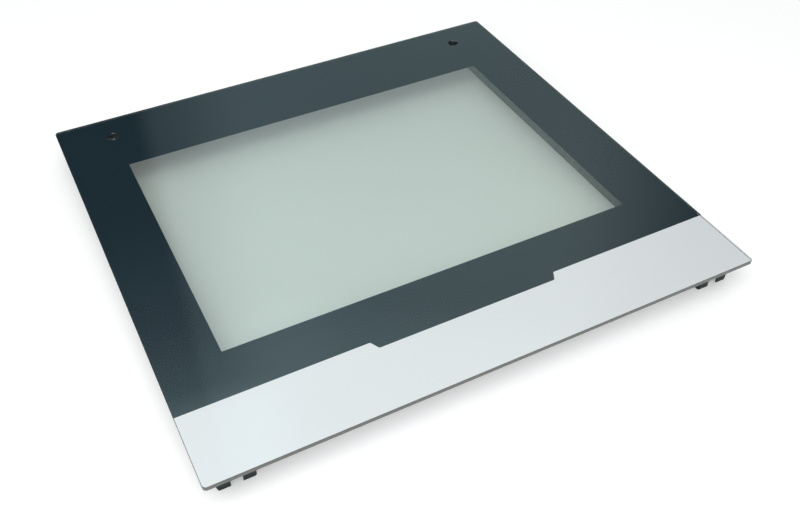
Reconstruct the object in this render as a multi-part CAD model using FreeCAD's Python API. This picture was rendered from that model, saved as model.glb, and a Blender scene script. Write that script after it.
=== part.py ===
import FreeCAD, Part
import os

from FreeCAD import Vector

# Outer glass of an oven door, lying face up on its two side rails, as it is sold as a spare.
# Units are millimetres. The origin is on the floor under the middle of the pane.
# X runs along the door's width, Y from the door's lower edge (-Y) to its handle edge (+Y), Z up.

# Glass pane
GLASS_WIDTH = 495.0
GLASS_DEPTH = 466.0
GLASS_THICKNESS = 4.0
GLASS_CORNER_RADIUS = 3.5
GLASS_ARRIS = 0.35

# Handle holes, near the handle edge, each this far inside the inner wall of its rail
HANDLE_HOLE_DIAMETER = 10.5
HANDLE_HOLE_WALL_DISTANCE = 9.2
HANDLE_HOLE_EDGE_DISTANCE = 32.3

# Enamel printed on the back of the pane
PRINT_THICKNESS = 0.1
PRINT_MARGIN = 0.45
HOLE_PRINT_MARGIN = 0.4
WINDOW_SIDE_MARGIN = 53.2
WINDOW_LOWER_MARGIN = 113.8
WINDOW_UPPER_MARGIN = 83.0
WINDOW_CORNER_RADIUS = 1.0

# Line where the dark frame meets the silver band, with a lower stretch in its middle
BAND_HEIGHT = 68.7
BAND_STEP_DROP = 8.2
BAND_STEP_WIDTH = 174.0
BAND_STEP_RUN = 4.4
BAND_STEP_RADIUS = 1.2

# Side rails of folded sheet, bonded to the back of the pane
RAIL_SHEET = 1.2
RAIL_BEND_RADIUS = 2.0
RAIL_HEIGHT = 25.6
RAIL_SIDE_INSET = 10.4
RAIL_WIDTH = 31.4
RAIL_END_INSET = 13.5
RAIL_WALL_HEIGHT = 22.4
RAIL_FOOT_LENGTH = 20.0
RAIL_RELIEF_RADIUS = 2.0

# Notch between the two feet at each end of a rail
FOOT_NOTCH_WIDTH = 9.7
FOOT_NOTCH_OFFSET = 11.1
FOOT_NOTCH_HEIGHT = 6.8
FOOT_NOTCH_RADIUS = 1.5
FOOT_CHAMFER_WIDTH = 1.9
FOOT_CHAMFER_HEIGHT = 5.0

# Lug of each rail behind its handle hole, drilled for the handle's screw
LUG_RADIUS = 9.0
LUG_WALL_GAP = 1.0
HANDLE_SCREW_HOLE_DIAMETER = 5.5

# Places that follow from the sizes above
PRINT_UNDERSIDE = RAIL_HEIGHT
GLASS_UNDERSIDE = PRINT_UNDERSIDE + PRINT_THICKNESS
HALF_WIDTH = GLASS_WIDTH / 2
LOWER_EDGE = -GLASS_DEPTH / 2
UPPER_EDGE = GLASS_DEPTH / 2
LEFT_RAIL_OUTER = -HALF_WIDTH + RAIL_SIDE_INSET
LEFT_RAIL_INNER = LEFT_RAIL_OUTER + RAIL_WIDTH
RAIL_LOWER_END = LOWER_EDGE + RAIL_END_INSET
RAIL_UPPER_END = UPPER_EDGE - RAIL_END_INSET
RAIL_LENGTH = RAIL_UPPER_END - RAIL_LOWER_END
LEFT_HOLE_X = LEFT_RAIL_INNER + HANDLE_HOLE_WALL_DISTANCE
HOLE_Y = UPPER_EDGE - HANDLE_HOLE_EDGE_DISTANCE

# How far an edge or face may be off its axis or its height and still be picked
TOLERANCE = 0.01


def polygon_face(points, z):
    """Flat face at height z from a closed run of (x, y) points."""
    corners = [Vector(x, y, z) for x, y in points]
    return Part.Face(Part.makePolygon(corners + corners[:1]))


def is_along(edge, direction):
    """Whether an edge starts along a direction, either way."""
    return edge.tangentAt(edge.FirstParameter).cross(direction).Length < TOLERANCE


def upright_edges(shape):
    """The edges that run along Z."""
    return [edge for edge in shape.Edges if is_along(edge, Vector(0, 0, 1))]


def edges_at_height(shape, height, direction):
    """The edges along a direction that lie at one height."""
    return [
        edge for edge in shape.Edges
        if is_along(edge, direction) and abs(edge.CenterOfMass.z - height) < TOLERANCE
    ]


def plate(x_low, y_low, x_high, y_high, z, thickness, radius):
    """Rectangular plate with its upright corners rounded."""
    base = Part.makeBox(x_high - x_low, y_high - y_low, thickness, Vector(x_low, y_low, z))
    return base.makeFillet(radius, upright_edges(base))


def drill_handle_holes(layer, diameter, z, thickness):
    """Cuts both handle holes through a layer that starts at height z."""
    for x in (LEFT_HOLE_X, -LEFT_HOLE_X):
        layer = layer.cut(Part.makeCylinder(diameter / 2, thickness, Vector(x, HOLE_Y, z)))
    return layer


def make_glass_pane():
    """Clear pane with rounded corners, two handle holes and ground arrises on both faces."""
    pane = plate(-HALF_WIDTH, LOWER_EDGE, HALF_WIDTH, UPPER_EDGE, GLASS_UNDERSIDE,
                 GLASS_THICKNESS, GLASS_CORNER_RADIUS)
    pane = drill_handle_holes(pane, HANDLE_HOLE_DIAMETER, GLASS_UNDERSIDE, GLASS_THICKNESS)
    rims = []
    for face in pane.Faces:
        if face.normalAt(0, 0).cross(Vector(0, 0, 1)).Length < TOLERANCE:
            rims.extend(face.Edges)
    return pane.makeChamfer(GLASS_ARRIS, rims)


def band_line():
    """Points of the stepped line between the dark frame and the silver band, left to right."""
    line_y = LOWER_EDGE + BAND_HEIGHT
    low_y = line_y - BAND_STEP_DROP
    step = BAND_STEP_WIDTH / 2
    foot = step - BAND_STEP_RUN
    edge = HALF_WIDTH - PRINT_MARGIN
    return [(-edge, line_y), (-step, line_y), (-foot, low_y), (foot, low_y), (step, line_y), (edge, line_y)]


def round_band_steps(layer):
    """Rounds the four corners of the stepped line in a printed layer."""
    limit = BAND_STEP_WIDTH / 2 + TOLERANCE
    corners = [edge for edge in upright_edges(layer) if abs(edge.CenterOfMass.x) < limit]
    return layer.makeFillet(BAND_STEP_RADIUS, corners)


def printed_sheet():
    """The whole printed area of the pane's back, before it is split into colours."""
    sheet = plate(-HALF_WIDTH + PRINT_MARGIN, LOWER_EDGE + PRINT_MARGIN, HALF_WIDTH - PRINT_MARGIN,
                  UPPER_EDGE - PRINT_MARGIN, PRINT_UNDERSIDE, PRINT_THICKNESS,
                  GLASS_CORNER_RADIUS - PRINT_MARGIN)
    bore = HANDLE_HOLE_DIAMETER + 2 * HOLE_PRINT_MARGIN
    return drill_handle_holes(sheet, bore, PRINT_UNDERSIDE, PRINT_THICKNESS)


def band_region(below):
    """Block of the print's thickness on one side of the stepped line."""
    y_limit = LOWER_EDGE if below else UPPER_EDGE
    points = band_line() + [(HALF_WIDTH - PRINT_MARGIN, y_limit), (-HALF_WIDTH + PRINT_MARGIN, y_limit)]
    block = polygon_face(points, PRINT_UNDERSIDE).extrude(Vector(0, 0, PRINT_THICKNESS))
    return round_band_steps(block)


def make_frame_print():
    """Dark enamel frame round the clear window."""
    frame = printed_sheet().common(band_region(False))
    window = plate(-HALF_WIDTH + WINDOW_SIDE_MARGIN, LOWER_EDGE + WINDOW_LOWER_MARGIN,
                   HALF_WIDTH - WINDOW_SIDE_MARGIN, UPPER_EDGE - WINDOW_UPPER_MARGIN,
                   PRINT_UNDERSIDE, PRINT_THICKNESS, WINDOW_CORNER_RADIUS)
    return frame.cut(window).removeSplitter()


def make_band_print():
    """Silver enamel band along the door's lower edge."""
    return printed_sheet().common(band_region(True)).removeSplitter()


def rounded_channel_block(inset, radius):
    """Block of the left rail's outline, taken in by an inset, with all but its bottom edges rounded."""
    block = Part.makeBox(RAIL_WIDTH - 2 * inset, RAIL_LENGTH - 2 * inset, RAIL_HEIGHT - inset,
                         Vector(LEFT_RAIL_OUTER + inset, RAIL_LOWER_END + inset, 0))
    bends = [edge for edge in block.Edges if edge.CenterOfMass.z > TOLERANCE]
    return block.makeFillet(radius, bends)


def channel_body():
    """Folded channel with closed ends, open at the bottom."""
    outer = rounded_channel_block(0, RAIL_BEND_RADIUS)
    inner = rounded_channel_block(RAIL_SHEET, RAIL_BEND_RADIUS - RAIL_SHEET)
    return outer.cut(inner)


def wall_relief():
    """Cutter that shortens both side walls between the feet, with rounded ends."""
    depth = RAIL_HEIGHT - RAIL_WALL_HEIGHT
    cutter = Part.makeBox(RAIL_WIDTH, RAIL_LENGTH - 2 * RAIL_FOOT_LENGTH, depth,
                          Vector(LEFT_RAIL_OUTER, RAIL_LOWER_END + RAIL_FOOT_LENGTH, 0))
    return cutter.makeFillet(RAIL_RELIEF_RADIUS, edges_at_height(cutter, depth, Vector(1, 0, 0)))


def foot_notch():
    """Cutter for the gap between the two feet, through both end walls."""
    cutter = Part.makeBox(FOOT_NOTCH_WIDTH, RAIL_LENGTH, FOOT_NOTCH_HEIGHT,
                          Vector(LEFT_RAIL_OUTER + FOOT_NOTCH_OFFSET, RAIL_LOWER_END, 0))
    return cutter.makeFillet(FOOT_NOTCH_RADIUS, edges_at_height(cutter, FOOT_NOTCH_HEIGHT, Vector(0, 1, 0)))


def foot_chamfer():
    """Wedge that slants the outer bottom corner of the feet."""
    corner = [
        Vector(LEFT_RAIL_OUTER, RAIL_LOWER_END, 0),
        Vector(LEFT_RAIL_OUTER + FOOT_CHAMFER_WIDTH, RAIL_LOWER_END, 0),
        Vector(LEFT_RAIL_OUTER, RAIL_LOWER_END, FOOT_CHAMFER_HEIGHT),
    ]
    face = Part.Face(Part.makePolygon(corner + corner[:1]))
    return face.extrude(Vector(0, RAIL_LENGTH, 0))


def add_handle_lug(rail):
    """Extends the rail's top web behind the handle hole, with the side wall cut away beside it."""
    z_low = RAIL_HEIGHT - RAIL_SHEET
    x_wall = LEFT_RAIL_INNER - RAIL_BEND_RADIUS
    half_gap = LUG_RADIUS + LUG_WALL_GAP
    centre = Vector(LEFT_HOLE_X, HOLE_Y, z_low)
    gap = Part.makeBox(RAIL_BEND_RADIUS, 2 * half_gap, RAIL_HEIGHT, Vector(x_wall, HOLE_Y - half_gap, 0))
    tab = Part.makeBox(LEFT_HOLE_X - x_wall, 2 * LUG_RADIUS, RAIL_SHEET,
                       Vector(x_wall, HOLE_Y - LUG_RADIUS, z_low))
    tip = Part.makeCylinder(LUG_RADIUS, RAIL_SHEET, centre)
    screw_hole = Part.makeCylinder(HANDLE_SCREW_HOLE_DIAMETER / 2, RAIL_SHEET, centre)
    return rail.cut(gap).fuse([tab, tip]).cut(screw_hole).removeSplitter()


def make_left_rail():
    """Left side rail: folded channel on four feet, with a lug behind the handle hole."""
    rail = channel_body()
    for cutter in (wall_relief(), foot_notch(), foot_chamfer()):
        rail = rail.cut(cutter)
    return add_handle_lug(rail)


def mirrored(shape):
    """The same piece on the other side of the door's middle plane."""
    return shape.mirror(Vector(0, 0, 0), Vector(1, 0, 0))


def main():
    os.makedirs("parts", exist_ok=True)
    left_rail = make_left_rail()
    nodes = {
        "glass_pane": make_glass_pane(),
        "frame_print": make_frame_print(),
        "band_print": make_band_print(),
        "side_rail_left": left_rail,
        "side_rail_right": mirrored(left_rail),
    }
    for name, shape in nodes.items():
        shape.exportStep("parts/" + name + ".step")
        print(name, shape.isValid(), len(shape.Solids), round(shape.Volume, 2))


main()
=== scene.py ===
"""Looks of an oven door's outer glass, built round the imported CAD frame.

The clear pane and the two folded side rails are the CAD's own nodes with better finishes. The
dark frame and the silver band are fired prints. They are built here as pieces that replace
their nodes, and their upper faces lie just inside the glass, because fired enamel is fused to
it and leaves no air between them. Lengths are in metres.
"""

import logging
import math
from dataclasses import dataclass, field
from enum import Enum
from typing import Any, Mapping, Sequence

import bmesh
import bpy
from mathutils import Matrix, Vector
from mathutils.geometry import tessellate_polygon


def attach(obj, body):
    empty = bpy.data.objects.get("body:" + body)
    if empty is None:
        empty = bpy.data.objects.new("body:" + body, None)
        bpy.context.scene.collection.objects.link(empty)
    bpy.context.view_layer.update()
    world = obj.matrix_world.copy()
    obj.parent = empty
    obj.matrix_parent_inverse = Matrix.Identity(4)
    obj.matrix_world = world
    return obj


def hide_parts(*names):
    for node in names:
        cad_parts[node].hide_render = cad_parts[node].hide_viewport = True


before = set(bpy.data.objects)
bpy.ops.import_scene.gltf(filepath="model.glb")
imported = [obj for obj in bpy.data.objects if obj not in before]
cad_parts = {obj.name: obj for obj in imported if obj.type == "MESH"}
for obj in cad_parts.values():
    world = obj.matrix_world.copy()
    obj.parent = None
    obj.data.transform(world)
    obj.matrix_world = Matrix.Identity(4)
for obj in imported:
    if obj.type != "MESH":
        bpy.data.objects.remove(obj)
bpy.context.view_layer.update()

log = logging.getLogger("oven_door_glass")

Colour = tuple[float, float, float]
Triple = tuple[float, float, float]
Point = tuple[float, float]
Socket = bpy.types.NodeSocket


class Slot(Enum):
    """The names of the material slots."""

    GLASS = "glass"
    DARK = "dark_enamel"
    SILVER = "silver_enamel"
    RAIL = "rail_paint"


class Side(Enum):
    """The two long sides of the door, with the name of the rail's node."""

    LEFT = "side_rail_left"
    RIGHT = "side_rail_right"


class NodeBoard:
    """Adds and links the nodes of one shader tree."""

    def __init__(self, tree: bpy.types.NodeTree) -> None:
        """Starts on an empty tree.

        Args:
            tree: The material's, world's or group's node tree.
        """
        self.tree = tree
        self.tree.nodes.clear()

    def add(self, kind: str, inputs: Mapping[Any, Any] | None = None, **settings: Any) -> bpy.types.Node:
        """Adds a node, with its settings and inputs.

        Args:
            kind: The node's type name.
            inputs: Values or sockets by the input's name or number.
            **settings: The node's own properties.

        Returns:
            The new node.
        """
        node = self.tree.nodes.new(kind)
        for name, value in settings.items():
            setattr(node, name, value)
        for name, value in (inputs or {}).items():
            if isinstance(value, Socket):
                self.tree.links.new(value, node.inputs[name])
            else:
                node.inputs[name].default_value = value
        return node

    def maths(self, operation: str, first: Any, second: Any = 0.0, clamp: bool = False) -> Socket:
        """Adds a Math node.

        Args:
            operation: The node's operation.
            first: The first value or socket.
            second: The second value or socket.
            clamp: Whether the result is kept from 0 to 1.

        Returns:
            The result's socket.
        """
        inputs = {0: first, 1: second}
        return self.add("ShaderNodeMath", inputs, operation=operation, use_clamp=clamp).outputs[0]

    def vector(self, operation: str, first: Any, second: Any = (0.0, 0.0, 0.0)) -> Socket:
        """Adds a Vector Math node.

        Args:
            operation: The node's operation.
            first: The first vector or socket.
            second: The second vector or socket.

        Returns:
            The result's socket, which is a number for a length or a distance.
        """
        node = self.add("ShaderNodeVectorMath", {0: first, 1: second}, operation=operation)
        return node.outputs["Value" if operation in ("LENGTH", "DISTANCE") else "Vector"]

    def ramp(
        self, value: Socket, low: float, high: float, start: float = 0.0, end: float = 1.0
    ) -> Socket:
        """Maps a value smoothly from one range to another.

        Args:
            value: The socket to map.
            low: The value that gives the start.
            high: The value that gives the end.
            start: The result at and below low.
            end: The result at and above high.

        Returns:
            The result's socket.
        """
        inputs = {"Value": value, "From Min": low, "From Max": high, "To Min": start, "To Max": end}
        return self.add("ShaderNodeMapRange", inputs, interpolation_type="SMOOTHSTEP").outputs["Result"]

    def mix(self, factor: Any, first: Any, second: Any) -> Socket:
        """Mixes two numbers.

        Args:
            factor: The share of the second number.
            first: The first number or socket.
            second: The second number or socket.

        Returns:
            The mixed number's socket.
        """
        inputs = {0: factor, 2: first, 3: second}
        return self.add("ShaderNodeMix", inputs, data_type="FLOAT").outputs[0]

    def blend(self, factor: Any, first: Any, second: Any) -> Socket:
        """Mixes two colours.

        Args:
            factor: The share of the second colour.
            first: The first colour or socket.
            second: The second colour or socket.

        Returns:
            The mixed colour's socket.
        """
        node = self.add("ShaderNodeMix", data_type="RGBA")
        for number, value in ((0, factor), (6, first), (7, second)):
            if isinstance(value, Socket):
                self.tree.links.new(value, node.inputs[number])
            else:
                node.inputs[number].default_value = value if number == 0 else (*value, 1.0)
        return node.outputs[2]

    def here(self) -> Socket:
        """Gives the place on the object, in metres."""
        return self.add("ShaderNodeTexCoord").outputs["Object"]

    def noise(self, place: Socket, size: Socket, **settings: Any) -> Socket:
        """Adds a noise with patches of a given size.

        Args:
            place: The place to look it up at.
            size: The size of its patches, in metres.
            **settings: The noise's other inputs.

        Returns:
            The noise's socket, from 0 to 1.
        """
        inputs = {"Vector": place, "Scale": self.maths("DIVIDE", 1.0, size), **settings}
        return self.add("ShaderNodeTexNoise", inputs).outputs[0]

    def bump(self, height: Socket) -> Socket:
        """Turns a height in metres into a normal.

        Args:
            height: The height's socket.

        Returns:
            The normal's socket.
        """
        inputs = {"Height": height, "Distance": 1.0, "Strength": 1.0}
        return self.add("ShaderNodeBump", inputs).outputs[0]


def new_group(name: str, inputs: Mapping[str, tuple[str, Any]], outputs: Mapping[str, str]) -> NodeBoard:
    """Makes an empty shader node group with named sockets.

    Args:
        name: The group's name.
        inputs: Socket kind and default value by name.
        outputs: Socket kind by name.

    Returns:
        The board of the group's tree.
    """
    tree = bpy.data.node_groups.new(name, "ShaderNodeTree")
    for socket, (kind, value) in inputs.items():
        made = tree.interface.new_socket(name=socket, in_out="INPUT", socket_type=kind)
        made.default_value = value
    for socket, kind in outputs.items():
        tree.interface.new_socket(name=socket, in_out="OUTPUT", socket_type=kind)
    return NodeBoard(tree)


def new_material(name: str) -> tuple[bpy.types.Material, NodeBoard]:
    """Makes a material with an empty tree.

    Args:
        name: The material's name.

    Returns:
        The material and the board of its tree.
    """
    material = bpy.data.materials.new(name)
    material.use_nodes = True
    return material, NodeBoard(material.node_tree)


class Effects:
    """The shader node groups that more than one finish uses, each built once."""

    def __init__(self) -> None:
        """Builds every group."""
        self.clouding = self._clouding()
        self.relief = self._relief()
        self.handling = self._handling()

    def place(self, board: NodeBoard, group: bpy.types.NodeTree, **inputs: Any) -> bpy.types.Node:
        """Puts a group into a material.

        Args:
            board: The material's board.
            group: The node group.
            **inputs: Values by input name, with an underscore for each space.

        Returns:
            The group's node.
        """
        node = board.add("ShaderNodeGroup", node_tree=group)
        for name, value in inputs.items():
            socket = node.inputs[name.replace("_", " ")]
            if isinstance(value, Socket):
                board.tree.links.new(value, socket)
            else:
                socket.default_value = value
        return node

    @staticmethod
    def _clouding() -> bpy.types.NodeTree:
        """Makes a colour that drifts over the surface and carries a fine grain.

        Returns:
            The group.
        """
        board = new_group(
            "clouding",
            {
                "Colour": ("NodeSocketColor", (0.5, 0.5, 0.5, 1.0)),
                "Drift Size": ("NodeSocketFloat", 0.12),
                "Drift": ("NodeSocketFloat", 0.05),
                "Grain Size": ("NodeSocketFloat", 0.0006),
                "Grain": ("NodeSocketFloat", 0.05),
            },
            {"Colour": "NodeSocketColor"},
        )
        given = board.add("NodeGroupInput")
        place = board.here()
        drift = board.noise(place, given.outputs["Drift Size"], Detail=2.0)
        grain = board.noise(place, given.outputs["Grain Size"], Detail=1.0)
        drift_part = board.maths("MULTIPLY", board.maths("SUBTRACT", drift, 0.5), given.outputs["Drift"])
        grain_part = board.maths("MULTIPLY", board.maths("SUBTRACT", grain, 0.5), given.outputs["Grain"])
        level = board.maths("ADD", board.maths("ADD", drift_part, grain_part), 1.0)
        inputs = {0: given.outputs["Colour"], "Scale": level}
        scaled = board.add("ShaderNodeVectorMath", inputs, operation="SCALE")
        board.add("NodeGroupOutput", {"Colour": scaled.outputs[0]})
        return board.tree

    @staticmethod
    def _relief() -> bpy.types.NodeTree:
        """Makes a fine height, stretched along one axis where the surface was ground that way.

        Returns:
            The group.
        """
        board = new_group(
            "relief",
            {
                "Size": ("NodeSocketFloat", 0.001),
                "Stretch": ("NodeSocketVector", (1.0, 1.0, 1.0)),
                "Roughening": ("NodeSocketFloat", 0.5),
            },
            {"Height": "NodeSocketFloat"},
        )
        given = board.add("NodeGroupInput")
        stretched = board.vector("MULTIPLY", board.here(), given.outputs["Stretch"])
        roughening = given.outputs["Roughening"]
        height = board.noise(stretched, given.outputs["Size"], Detail=2.0, Roughness=roughening)
        board.add("NodeGroupOutput", {"Height": height})
        return board.tree

    @staticmethod
    def _handling() -> bpy.types.NodeTree:
        """Makes a mask of the faint patches that wiping and handling leave.

        Returns:
            The group.
        """
        board = new_group(
            "handling",
            {
                "Patch Size": ("NodeSocketFloat", 0.08),
                "Coverage": ("NodeSocketFloat", 0.4),
            },
            {"Mask": "NodeSocketFloat"},
        )
        given = board.add("NodeGroupInput")
        noise = board.noise(board.here(), given.outputs["Patch Size"], Detail=4.0, Distortion=0.6)
        limit = board.maths("SUBTRACT", 1.0, given.outputs["Coverage"])
        above = board.maths("SUBTRACT", noise, limit)
        mask = board.maths("MULTIPLY", above, 3.0, clamp=True)
        board.add("NodeGroupOutput", {"Mask": mask})
        return board.tree


@dataclass(frozen=True)
class ClearGlass:
    """Toughened glass: polished faces, ground edges, a faint green cast and a dark rim, with painted shade in
    the back face's colour beyond the silver band and in the ground edges' near-black colour.
    """

    half_width: float = 0.2475
    half_depth: float = 0.233
    corner_radius: float = 0.0035
    rim_width: float = 0.0006
    hole_x: float = 0.1965
    hole_y: float = 0.2007
    hole_reach: float = 0.006
    face: Colour = (0.975, 0.995, 0.99)
    # back is partly green cast and partly painted shade: it darkens the floor seen through the window.
    back: Colour = (0.432, 0.464, 0.42)
    # The edge colour is painted shade: its near-black tint darkens the pane's ground side faces.
    shaded_edge: Colour = (0.02, 0.021, 0.017)
    rim: Colour = (0.004, 0.008, 0.01)
    passing_face: Colour = (0.955, 0.965, 0.96)
    passing_back: Colour = (0.73, 0.80, 0.775)
    middle_height: float = 0.0277
    band_line: float = -0.16
    edge_slopes: Point = (0.999, 0.9)
    wall_slopes: Point = (0.6, 0.3)
    edge_roughness: float = 0.14
    refraction: float = 1.52
    patch_size: float = 0.09
    patch_share: float = 0.45
    haze: float = 0.012
    wave: float = 0.00002
    wave_size: float = 0.22
    wave_stretch: Triple = (1.0, 0.35, 1.0)
    ground_depth: float = 0.00003
    ground_size: float = 0.0004
    ground_stretch: Triple = (1.0, 1.0, 0.15)
    dust_roughness: float = 0.9
    dust_refraction: float = 1.6

    def make(self, effects: Effects) -> bpy.types.Material:
        """Builds the material.

        Args:
            effects: The shared node groups.

        Returns:
            The glass material.
        """
        material, board = new_material("clear_glass")
        normal = board.add("ShaderNodeNewGeometry").outputs["True Normal"]
        upright = board.add("ShaderNodeSeparateXYZ", {0: normal}).outputs["Z"]
        slope = board.maths("ABSOLUTE", upright)
        side = board.ramp(slope, *self.edge_slopes)
        wall = board.ramp(slope, *self.wall_slopes)
        place = board.add("ShaderNodeSeparateXYZ", {0: board.here()})
        # The back face beyond the silver band has the green cast that the window shows, darkened further as
        # painted shade: the floor seen through the window looks darker through it, in place of the shade
        # under the pane.
        below = board.maths("LESS_THAN", place.outputs["Z"], self.middle_height)
        beyond = board.maths("GREATER_THAN", place.outputs["Y"], self.band_line)
        tinted_and_shaded = board.maths("MULTIPLY", below, beyond)
        # The ground edges take the near-black edge colour, which is painted shade on the side faces.
        faces = board.blend(side, board.blend(tinted_and_shaded, self.face, self.back), self.shaded_edge)
        rim = board.maths("MULTIPLY", self._rim(board, wall), tinted_and_shaded)
        colour = board.blend(rim, faces, self.rim)
        shader = board.add(
            "ShaderNodeBsdfPrincipled",
            {
                "Base Color": colour,
                "Roughness": self._roughness(board, effects, side),
                "IOR": self.refraction,
                "Transmission Weight": 1.0,
                "Coat Weight": wall,
                "Coat Roughness": self.dust_roughness,
                "Coat IOR": self.dust_refraction,
                "Normal": self._normal(board, effects, side),
            },
        )
        # Shadow and diffuse rays pass straight through, so that the prints and the floor are lit.
        path = board.add("ShaderNodeLightPath")
        passes = board.maths("MAXIMUM", path.outputs["Is Shadow Ray"], path.outputs["Is Diffuse Ray"])
        cast = board.blend(tinted_and_shaded, self.passing_face, self.passing_back)
        clear = board.add("ShaderNodeBsdfTransparent", {"Color": cast})
        both = board.add("ShaderNodeMixShader", {0: passes, 1: shader.outputs[0], 2: clear.outputs[0]})
        board.add("ShaderNodeOutputMaterial", {"Surface": both.outputs[0]})
        return material

    def _roughness(self, board: NodeBoard, effects: Effects, side: Socket) -> Socket:
        """Gives the ground edges' roughness and the faint haze that wiping leaves on the faces.

        Args:
            board: The material's board.
            effects: The shared node groups.
            side: The mask of the ground edges.

        Returns:
            The roughness's socket.
        """
        inputs = {"Patch_Size": self.patch_size, "Coverage": self.patch_share}
        patches = effects.place(board, effects.handling, **inputs).outputs["Mask"]
        ground = board.maths("MULTIPLY", side, self.edge_roughness)
        return board.maths("ADD", ground, board.maths("MULTIPLY", patches, self.haze))

    def _normal(self, board: NodeBoard, effects: Effects, side: Socket) -> Socket:
        """Gives the slight roller wave of the faces and the grinding marks of the edges.

        Args:
            board: The material's board.
            effects: The shared node groups.
            side: The mask of the ground edges.

        Returns:
            The normal's socket.
        """
        inputs = {"Size": self.wave_size, "Stretch": self.wave_stretch, "Roughening": 0.2}
        wave = effects.place(board, effects.relief, **inputs).outputs["Height"]
        inputs = {"Size": self.ground_size, "Stretch": self.ground_stretch, "Roughening": 0.6}
        marks = effects.place(board, effects.relief, **inputs).outputs["Height"]
        marks_height = board.maths("MULTIPLY", board.maths("MULTIPLY", marks, side), self.ground_depth)
        height = board.maths("ADD", board.maths("MULTIPLY", wave, self.wave), marks_height)
        return board.bump(height)

    def _rim(self, board: NodeBoard, wall: Socket) -> Socket:
        """Gives 1 close to the pane's outline and round its two holes, where the ink thins out.

        Args:
            board: The material's board.
            wall: The mask of the upright walls.

        Returns:
            The mask's socket.
        """
        flat = board.vector("MULTIPLY", board.here(), (1.0, 1.0, 0.0))
        folded = board.vector("ABSOLUTE", flat)
        straight = (self.half_width - self.corner_radius, self.half_depth - self.corner_radius, 0.0)
        reach = board.vector("MAXIMUM", board.vector("SUBTRACT", folded, straight))
        far_out = board.vector("LENGTH", reach)
        border = board.maths("GREATER_THAN", far_out, self.corner_radius - self.rim_width)
        apart = board.add("ShaderNodeSeparateXYZ", {0: folded}).outputs["X"]
        along = board.add("ShaderNodeSeparateXYZ", {0: flat}).outputs["Y"]
        centred = board.add("ShaderNodeCombineXYZ", {"X": apart, "Y": along}).outputs[0]
        middle = (self.hole_x, self.hole_y, 0.0)
        off = board.vector("DISTANCE", centred, middle)
        holes = board.maths("LESS_THAN", off, self.hole_reach)
        level = board.maths("SUBTRACT", 1.0, wall)
        return board.maths("MAXIMUM", border, board.maths("MULTIPLY", holes, level))


@dataclass(frozen=True)
class FiredEnamel:
    """Screen-printed enamel. Its upper face is fused to the glass and its back is bare."""

    name: str
    colour: Colour
    back_colour: Colour
    drift: float
    grain: float
    drift_size: float = 0.16
    grain_size: float = 0.0005
    relief_size: float = 0.0008
    back_relief: float = 0.00002

    def make(self, effects: Effects, fused: bool) -> bpy.types.Material:
        """Builds the material of one face.

        Args:
            effects: The shared node groups.
            fused: True for the face that is seen through the glass.

        Returns:
            The enamel material.
        """
        material, board = new_material(self.name if fused else f"{self.name}_back")
        clouds = effects.place(
            board,
            effects.clouding,
            Colour=(*(self.colour if fused else self.back_colour), 1.0),
            Drift_Size=self.drift_size,
            Drift=self.drift,
            Grain_Size=self.grain_size,
            Grain=self.grain,
        )
        peel = effects.place(board, effects.relief, Size=self.relief_size, Roughening=0.5)
        height = board.maths("MULTIPLY", peel.outputs[0], 0.0 if fused else self.back_relief)
        shader = board.add(
            "ShaderNodeBsdfPrincipled",
            {
                "Base Color": clouds.outputs["Colour"],
                "Roughness": 0.6 if fused else 0.45,
                "Specular IOR Level": 0.0 if fused else 0.4,
                "Normal": board.bump(height),
            },
        )
        board.add("ShaderNodeOutputMaterial", {"Surface": shader.outputs[0]})
        return material


@dataclass(frozen=True)
class SatinCoating:
    """Dark satin powder coat on folded sheet steel, rubbed lighter where the feet end."""

    colour: Colour = (0.016, 0.026, 0.031)
    rubbed: Colour = (0.07, 0.085, 0.09)
    roughness: float = 0.42
    rub_height: float = 0.0006
    least_rub: float = 0.25
    wiped_roughness: float = 0.1
    relief: float = 0.00004

    def make(self, effects: Effects) -> bpy.types.Material:
        """Builds the material.

        Args:
            effects: The shared node groups.

        Returns:
            The coating material.
        """
        material, board = new_material("satin_coating")
        clouds = effects.place(
            board,
            effects.clouding,
            Colour=(*self.colour, 1.0),
            Drift_Size=0.05,
            Drift=0.18,
            Grain_Size=0.0007,
            Grain=0.25,
        )
        height_up = board.add("ShaderNodeSeparateXYZ", {0: board.here()}).outputs["Z"]
        low = board.ramp(height_up, self.rub_height, 0.0)
        patches = effects.place(board, effects.handling, Patch_Size=0.012, Coverage=0.5).outputs["Mask"]
        rub = board.maths("MULTIPLY", low, board.maths("ADD", patches, self.least_rub), clamp=True)
        colour = board.blend(rub, clouds.outputs["Colour"], self.rubbed)
        wiped = effects.place(board, effects.handling, Patch_Size=0.03, Coverage=0.5).outputs["Mask"]
        rough = board.maths("ADD", board.maths("MULTIPLY", wiped, self.wiped_roughness), self.roughness)
        peel = effects.place(board, effects.relief, Size=0.0009, Roughening=0.55)
        height = board.maths("MULTIPLY", peel.outputs[0], self.relief)
        shader = board.add(
            "ShaderNodeBsdfPrincipled",
            {
                "Base Color": colour,
                "Roughness": rough,
                "Specular IOR Level": 0.3,
                "Normal": board.bump(height),
            },
        )
        board.add("ShaderNodeOutputMaterial", {"Surface": shader.outputs[0]})
        return material


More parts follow.
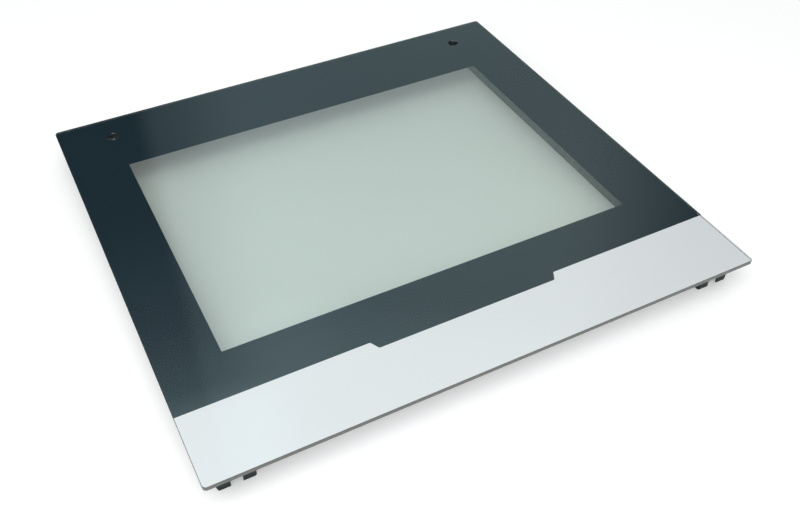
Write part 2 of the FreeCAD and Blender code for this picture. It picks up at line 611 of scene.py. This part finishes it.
@dataclass(frozen=True)
class Corner:
    """One corner of an outline, rounded to a radius where it has one."""

    x: float
    y: float
    radius: float = 0.0

    def points(self, before: "Corner", after: "Corner", steps: int = 10) -> list[Point]:
        """Gives the points that stand for this corner.

        Args:
            before: The corner before it.
            after: The corner after it.
            steps: How many parts its arc is divided into.

        Returns:
            The points, in the outline's order.
        """
        here = Vector((self.x, self.y))
        if self.radius <= 0:
            return [(self.x, self.y)]
        back = (Vector((before.x, before.y)) - here).normalized()
        on = (Vector((after.x, after.y)) - here).normalized()
        half = back.angle(on) / 2
        reach = self.radius / math.tan(half)
        centre = here + (back + on).normalized() * (self.radius / math.sin(half))
        first = here + back * reach - centre
        turn = first.angle_signed(here + on * reach - centre)
        made = []
        for number in range(steps + 1):
            angle = -turn * number / steps
            spun = Matrix.Rotation(angle, 2) @ first
            made.append((centre.x + spun.x, centre.y + spun.y))
        return made


def outline(corners: Sequence[Corner]) -> list[Point]:
    """Gives the points of a closed outline of rounded corners.

    Args:
        corners: The corners in order.

    Returns:
        The points in order.
    """
    made: list[Point] = []
    for number, corner in enumerate(corners):
        made += corner.points(corners[number - 1], corners[(number + 1) % len(corners)])
    return made


def ring(x: float, y: float, radius: float, steps: int = 48) -> list[Point]:
    """Gives the points of a round hole.

    Args:
        x: The centre's place across the pane.
        y: The centre's place along the pane.
        radius: The hole's radius.
        steps: How many sides stand for the circle.

    Returns:
        The points in order.
    """
    angles = [math.tau * number / steps for number in range(steps)]
    return [(x + radius * math.cos(angle), y + radius * math.sin(angle)) for angle in angles]


@dataclass
class BandLine:
    """The line between the dark frame and the silver band, with its step down in the middle."""

    height: float = -0.1643
    drop: float = 0.0082
    half_width: float = 0.087
    run: float = 0.0044
    radius: float = 0.0012

    def corners(self) -> list[Corner]:
        """The step's four corners, from left to right."""
        low = self.height - self.drop
        return [
            Corner(-self.half_width, self.height, self.radius),
            Corner(-self.half_width + self.run, low, self.radius),
            Corner(self.half_width - self.run, low, self.radius),
            Corner(self.half_width, self.height, self.radius),
        ]


@dataclass
class Print:
    """A thin fired print on the pane's back face."""

    name: str
    node: str
    slot: Slot
    finish: FiredEnamel
    half_width: float = 0.24705
    half_depth: float = 0.23255
    corner_radius: float = 0.00305
    back_height: float = 0.0256
    upper_height: float = 0.02572

    def outlines(self) -> list[list[Point]]:
        """The outer outline first, then the holes."""
        raise NotImplementedError

    def build(self, effects: Effects) -> bpy.types.Object:
        """Builds the sheet, dresses it and puts it in its node's place.

        Args:
            effects: The shared node groups.

        Returns:
            The print's object.
        """
        loops = self.outlines()
        flat = [[Vector((x, y, 0.0)) for x, y in loop] for loop in loops]
        triangles = tessellate_polygon(flat)
        points = [point for loop in loops for point in loop]
        mesh = bmesh.new()
        upper = [mesh.verts.new((x, y, self.upper_height)) for x, y in points]
        lower = [mesh.verts.new((x, y, self.back_height)) for x, y in points]
        for triangle in triangles:
            self._face(mesh, [upper[number] for number in triangle], up=True)
            self._face(mesh, [lower[number] for number in triangle], up=False)
        start = 0
        for loop in loops:
            for number in range(len(loop)):
                here = start + number
                after = start + (number + 1) % len(loop)
                wall = mesh.faces.new([lower[here], lower[after], upper[after], upper[here]])
                wall.material_index = 1
            start += len(loop)
        bmesh.ops.recalc_face_normals(mesh, faces=mesh.faces)
        data = bpy.data.meshes.new(self.name)
        mesh.to_mesh(data)
        mesh.free()
        piece = bpy.data.objects.new(self.name, data)
        bpy.context.scene.collection.objects.link(piece)
        data.materials.append(self.finish.make(effects, fused=True))
        data.materials.append(self.finish.make(effects, fused=False))
        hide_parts(self.node)
        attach(piece, "root")
        return piece

    @staticmethod
    def _face(mesh: bmesh.types.BMesh, corners: list[bmesh.types.BMVert], up: bool) -> None:
        """Adds one flat face that looks up or down.

        Args:
            mesh: The sheet so far.
            corners: The face's three corners.
            up: Whether it looks up, to the glass.
        """
        face = mesh.faces.new(corners)
        face.normal_update()
        if (face.normal.z > 0) != up:
            face.normal_flip()
        face.material_index = 0 if up else 1


@dataclass
class FramePrint(Print):
    """The dark frame round the clear window."""

    window_half_width: float = 0.1943
    window_near: float = -0.1192
    window_far: float = 0.15
    window_radius: float = 0.001
    hole_half_spacing: float = 0.1965
    hole_y: float = 0.2007
    hole_radius: float = 0.00565
    line: BandLine = field(default_factory=BandLine)

    def outlines(self) -> list[list[Point]]:
        """The frame's outline, its window and its two handle holes."""
        sides = self.half_width
        outer = [
            Corner(-sides, self.line.height),
            *self.line.corners(),
            Corner(sides, self.line.height),
            Corner(sides, self.half_depth, self.corner_radius),
            Corner(-sides, self.half_depth, self.corner_radius),
        ]
        window = [
            Corner(-self.window_half_width, self.window_near, self.window_radius),
            Corner(self.window_half_width, self.window_near, self.window_radius),
            Corner(self.window_half_width, self.window_far, self.window_radius),
            Corner(-self.window_half_width, self.window_far, self.window_radius),
        ]
        left = ring(-self.hole_half_spacing, self.hole_y, self.hole_radius)
        right = ring(self.hole_half_spacing, self.hole_y, self.hole_radius)
        return [outline(outer), outline(window), left, right]


@dataclass
class BandPrint(Print):
    """The silver band along the door's lower edge."""

    line: BandLine = field(default_factory=BandLine)

    def outlines(self) -> list[list[Point]]:
        """The band's one outline."""
        sides = self.half_width
        step = list(reversed(self.line.corners()))
        outer = [
            Corner(-sides, -self.half_depth, self.corner_radius),
            Corner(sides, -self.half_depth, self.corner_radius),
            Corner(sides, self.line.height),
            *step,
            Corner(-sides, self.line.height),
        ]
        return [outline(outer)]


@dataclass
class GlassPane:
    """The CAD's clear pane in its finish."""

    node: str = "glass_pane"
    finish: ClearGlass = ClearGlass()

    def dress(self, effects: Effects) -> bpy.types.Object:
        """Gives the node its glass.

        Args:
            effects: The shared node groups.

        Returns:
            The node's object.
        """
        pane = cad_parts[self.node]
        pane.data.materials.clear()
        pane.data.materials.append(self.finish.make(effects))
        return pane


@dataclass
class SideRails:
    """The CAD's two folded rails in their coating."""

    finish: SatinCoating = SatinCoating()

    def dress(self, effects: Effects) -> list[bpy.types.Object]:
        """Gives both nodes their coating.

        Args:
            effects: The shared node groups.

        Returns:
            The two objects.
        """
        coating = self.finish.make(effects)
        rails = []
        for side in Side:
            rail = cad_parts[side.value]
            rail.data.materials.clear()
            rail.data.materials.append(coating)
            rails.append(rail)
        return rails


@dataclass
class Viewpoint:
    """The camera at the photograph's viewing angle."""

    eye: Triple = (-0.28638, -0.60293, 0.57397)
    right: Triple = (0.8883488, -0.45916804, -0.00105679)
    up: Triple = (0.316993, 0.61161554, 0.7248737)
    forward: Triple = (0.33219249, 0.64427567, -0.68888098)
    lens: float = 41.278
    sensor: float = 36.0

    def build(self) -> bpy.types.Object:
        """Makes the camera and gives it to the scene."""
        data = bpy.data.cameras.new("camera")
        data.lens = self.lens
        data.sensor_width = self.sensor
        data.clip_start = 0.01
        data.clip_end = 100.0
        camera = bpy.data.objects.new("camera", data)
        back = -Vector(self.forward)
        turned = Matrix((self.right, self.up, back)).transposed()
        camera.matrix_world = Matrix.Translation(Vector(self.eye)) @ turned.to_4x4()
        bpy.context.scene.collection.objects.link(camera)
        bpy.context.scene.camera = camera
        return camera


@dataclass(frozen=True)
class Arc:
    """A smooth change of level between two angles, which are in degrees."""

    low: float
    high: float
    start: float = 0.0
    end: float = 1.0

    def level(self, board: NodeBoard, angle: Socket) -> Socket:
        """Maps an angle to its level.

        Args:
            board: The world's board.
            angle: The angle's socket, in radians.

        Returns:
            The level's socket.
        """
        return board.ramp(angle, math.radians(self.low), math.radians(self.high), self.start, self.end)


@dataclass(frozen=True)
class MirroredSky:
    """What the pane mirrors: a bright sky that is dim at its left end and turns cool."""

    left_edge: Arc = Arc(7.8, 9.6, 0.0, 0.45)
    left_rest: Arc = Arc(8.5, 16.5, 0.0, 0.55)
    right_end: Arc = Arc(39.5, 54.5, 1.0, 0.15)
    open_side: Arc = Arc(38.0, 55.0, 0.19, 0.78)
    lower_rise: Arc = Arc(31.0, 44.0, 0.78, 1.28)
    upper_rise: Arc = Arc(45.0, 50.0, 0.0, 0.45)
    patch_start: Arc = Arc(9.0, 15.0)
    patch_end: Arc = Arc(18.0, 24.0, 1.0, 0.0)
    patch_rise: Arc = Arc(44.5, 46.5, 0.04, 0.2)
    glow_end: Arc = Arc(11.0, 19.0, 1.0, 0.0)
    glow_rise: Arc = Arc(49.4, 51.6)
    middle: float = 20.0
    elsewhere: Arc = Arc(45.0, 90.0)
    elsewhere_level: float = 0.75
    turning: Arc = Arc(18.0, 50.0)
    left_cast: Colour = (0.75, 1.0, 1.04)
    right_cast: Colour = (0.82, 1.0, 0.95)

    def level(self, board: NodeBoard, bearing: Socket, rise: Socket, away: Socket) -> Socket:
        """Gives the sky's brightness by direction.

        Args:
            board: The world's board.
            bearing: The angle round the upright, from the far side to the right.
            rise: The angle above the floor.
            away: 1 where the direction is outside the part that the photograph shows.

        Returns:
            The brightness's socket.
        """
        start = board.maths("ADD", self.left_edge.level(board, bearing), self.left_rest.level(board, bearing))
        open_side = self.open_side.level(board, rise)
        shared = board.maths("MULTIPLY", start, open_side)
        inner = board.maths("SUBTRACT", board.maths("ADD", start, open_side), shared)
        plain = board.maths("ADD", self.lower_rise.level(board, rise), self.upper_rise.level(board, rise))
        across = board.maths(
            "MULTIPLY", self.patch_start.level(board, bearing), self.patch_end.level(board, bearing)
        )
        patch = board.maths("MULTIPLY", across, self.patch_rise.level(board, rise))
        glow = board.maths("MULTIPLY", self.glow_rise.level(board, rise), self.glow_end.level(board, bearing))
        higher = board.maths("ADD", plain, board.maths("ADD", patch, glow))
        ended = board.maths("MULTIPLY", higher, self.right_end.level(board, bearing))
        front = board.maths("MULTIPLY", inner, ended)
        return board.maths("MAXIMUM", front, board.maths("MULTIPLY", away, self.elsewhere_level))

    def outside(self, board: NodeBoard, bearing: Socket) -> Socket:
        """Gives 1 where the direction is outside the part that the photograph shows.

        Args:
            board: The world's board.
            bearing: The angle round the upright, from the far side to the right.

        Returns:
            The mask's socket.
        """
        from_middle = board.maths("SUBTRACT", bearing, math.radians(self.middle))
        return self.elsewhere.level(board, board.maths("ABSOLUTE", from_middle))

    def cast(self, board: NodeBoard, bearing: Socket) -> Socket:
        """Gives the sky's colour by direction.

        Args:
            board: The world's board.
            bearing: The angle round the upright, from the far side to the right.

        Returns:
            The colour's socket.
        """
        return board.blend(self.turning.level(board, bearing), self.left_cast, self.right_cast)


@dataclass
class Studio:
    """A pale floor, a white surround with one dim stretch, and a large soft lamp."""

    floor_radius: float = 12.0
    floor_height: float = -0.0002
    floor_colour: Colour = (0.83, 0.845, 0.845)
    floor_lift: float = 0.3
    passed_lift: float = 0.14
    far_lift: float = 0.5
    far_start: float = 0.6
    far_end: float = 2.2
    surround: float = 0.62
    mirrored: MirroredSky = MirroredSky()
    lamp_place: Triple = (-0.45, -0.6, 1.1)
    lamp_size: float = 1.3
    lamp_power: float = 9.6

    def build(self) -> None:
        """Makes the floor, the surround and the lamp."""
        self._floor()
        self._surround()
        self._lamp()
        bpy.context.scene.view_settings.view_transform = "Standard"

    def _floor(self) -> None:
        """Makes the floor, which keeps the object's shadow."""
        mesh = bmesh.new()
        rim = ring(0.0, 0.0, self.floor_radius, 96)
        mesh.faces.new([mesh.verts.new((x, y, self.floor_height)) for x, y in rim])
        data = bpy.data.meshes.new("floor")
        mesh.to_mesh(data)
        mesh.free()
        floor = bpy.data.objects.new("floor", data)
        bpy.context.scene.collection.objects.link(floor)
        material, board = new_material("pale_floor")
        seen = self._seen(board)
        matt = board.add("ShaderNodeBsdfDiffuse", {"Color": (*self.floor_colour, 1.0)})
        straight = board.add("ShaderNodeLightPath").outputs["Is Camera Ray"]
        near_level = board.mix(straight, self.passed_lift, self.floor_lift)
        far_part = board.ramp(board.vector("LENGTH", board.here()), self.far_start, self.far_end)
        lift = board.maths("MULTIPLY", seen, board.mix(far_part, near_level, self.far_lift))
        glow = board.add("ShaderNodeEmission", {"Color": (1.0, 1.0, 1.0, 1.0), "Strength": lift})
        both = board.add("ShaderNodeAddShader", {0: matt.outputs[0], 1: glow.outputs[0]})
        board.add("ShaderNodeOutputMaterial", {"Surface": both.outputs[0]})
        data.materials.append(material)

    @staticmethod
    def _seen(board: NodeBoard) -> Socket:
        """Gives 1 where a ray comes from the camera, straight or by gloss or glass.

        Args:
            board: The material's or world's board.

        Returns:
            The mask's socket.
        """
        path = board.add("ShaderNodeLightPath")
        straight = board.maths("ADD", path.outputs["Is Camera Ray"], path.outputs["Is Glossy Ray"])
        either = board.maths("ADD", straight, path.outputs["Is Transmission Ray"], clamp=True)
        unlit = board.maths("LESS_THAN", path.outputs["Diffuse Depth"], 0.5)
        return board.maths("MULTIPLY", either, unlit)

    def _surround(self) -> None:
        """Makes the white surround, with the dim stretch that the pane's far-left corner mirrors."""
        world = bpy.data.worlds.new("surround")
        world.use_nodes = True
        bpy.context.scene.world = world
        board = NodeBoard(world.node_tree)
        direction = board.add("ShaderNodeTexCoord").outputs["Generated"]
        parts = board.add("ShaderNodeSeparateXYZ", {0: direction})
        bearing = board.maths("ARCTAN2", parts.outputs["X"], parts.outputs["Y"])
        rise = board.maths("ARCSINE", parts.outputs["Z"])
        away = self.mirrored.outside(board, bearing)
        seen = self._seen(board)
        glossy = board.add("ShaderNodeLightPath").outputs["Is Glossy Ray"]
        by_gloss = board.maths("MULTIPLY", glossy, seen)
        shown = board.mix(by_gloss, 1.0, self.mirrored.level(board, bearing, rise, away))
        level = board.mix(seen, self.surround, shown)
        cool = board.maths("MULTIPLY", by_gloss, board.maths("SUBTRACT", 1.0, away))
        tint = board.blend(cool, (1.0, 1.0, 1.0), self.mirrored.cast(board, bearing))
        sky = board.add("ShaderNodeBackground", {"Color": tint, "Strength": level})
        board.add("ShaderNodeOutputWorld", {"Surface": sky.outputs[0]})

    def _lamp(self) -> None:
        """Makes the large soft lamp on the near left."""
        data = bpy.data.lights.new("soft_lamp", "AREA")
        data.shape = "SQUARE"
        data.size = self.lamp_size
        data.energy = self.lamp_power
        lamp = bpy.data.objects.new("soft_lamp", data)
        place = Vector(self.lamp_place)
        lamp.location = place
        lamp.rotation_mode = "QUATERNION"
        lamp.rotation_quaternion = (-place).to_track_quat("-Z", "Y")
        lamp.visible_camera = False
        bpy.context.scene.collection.objects.link(lamp)


def main() -> None:
    """Builds the pieces in order and reports each of them."""
    logging.basicConfig(level=logging.INFO, format="%(message)s")
    effects = Effects()
    line = BandLine()
    dark = FiredEnamel("dark_enamel", (0.004, 0.015, 0.024), (0.012, 0.022, 0.028), 0.12, 0.05)
    silver = FiredEnamel("silver_enamel", (0.72, 0.745, 0.765), (0.5, 0.52, 0.53), 0.02, 0.03)
    pane = GlassPane().dress(effects)
    log.info("%s dressed", pane.name)
    for part in (
        FramePrint("frame_print_fired", "frame_print", Slot.DARK, dark, line=line),
        BandPrint("band_print_fired", "band_print", Slot.SILVER, silver, line=line),
    ):
        piece = part.build(effects)
        log.info("%s built, %d faces", piece.name, len(piece.data.polygons))
    for rail in SideRails().dress(effects):
        log.info("%s dressed", rail.name)
    Studio().build()
    Viewpoint().build()


if __name__ == "__main__":
    main()
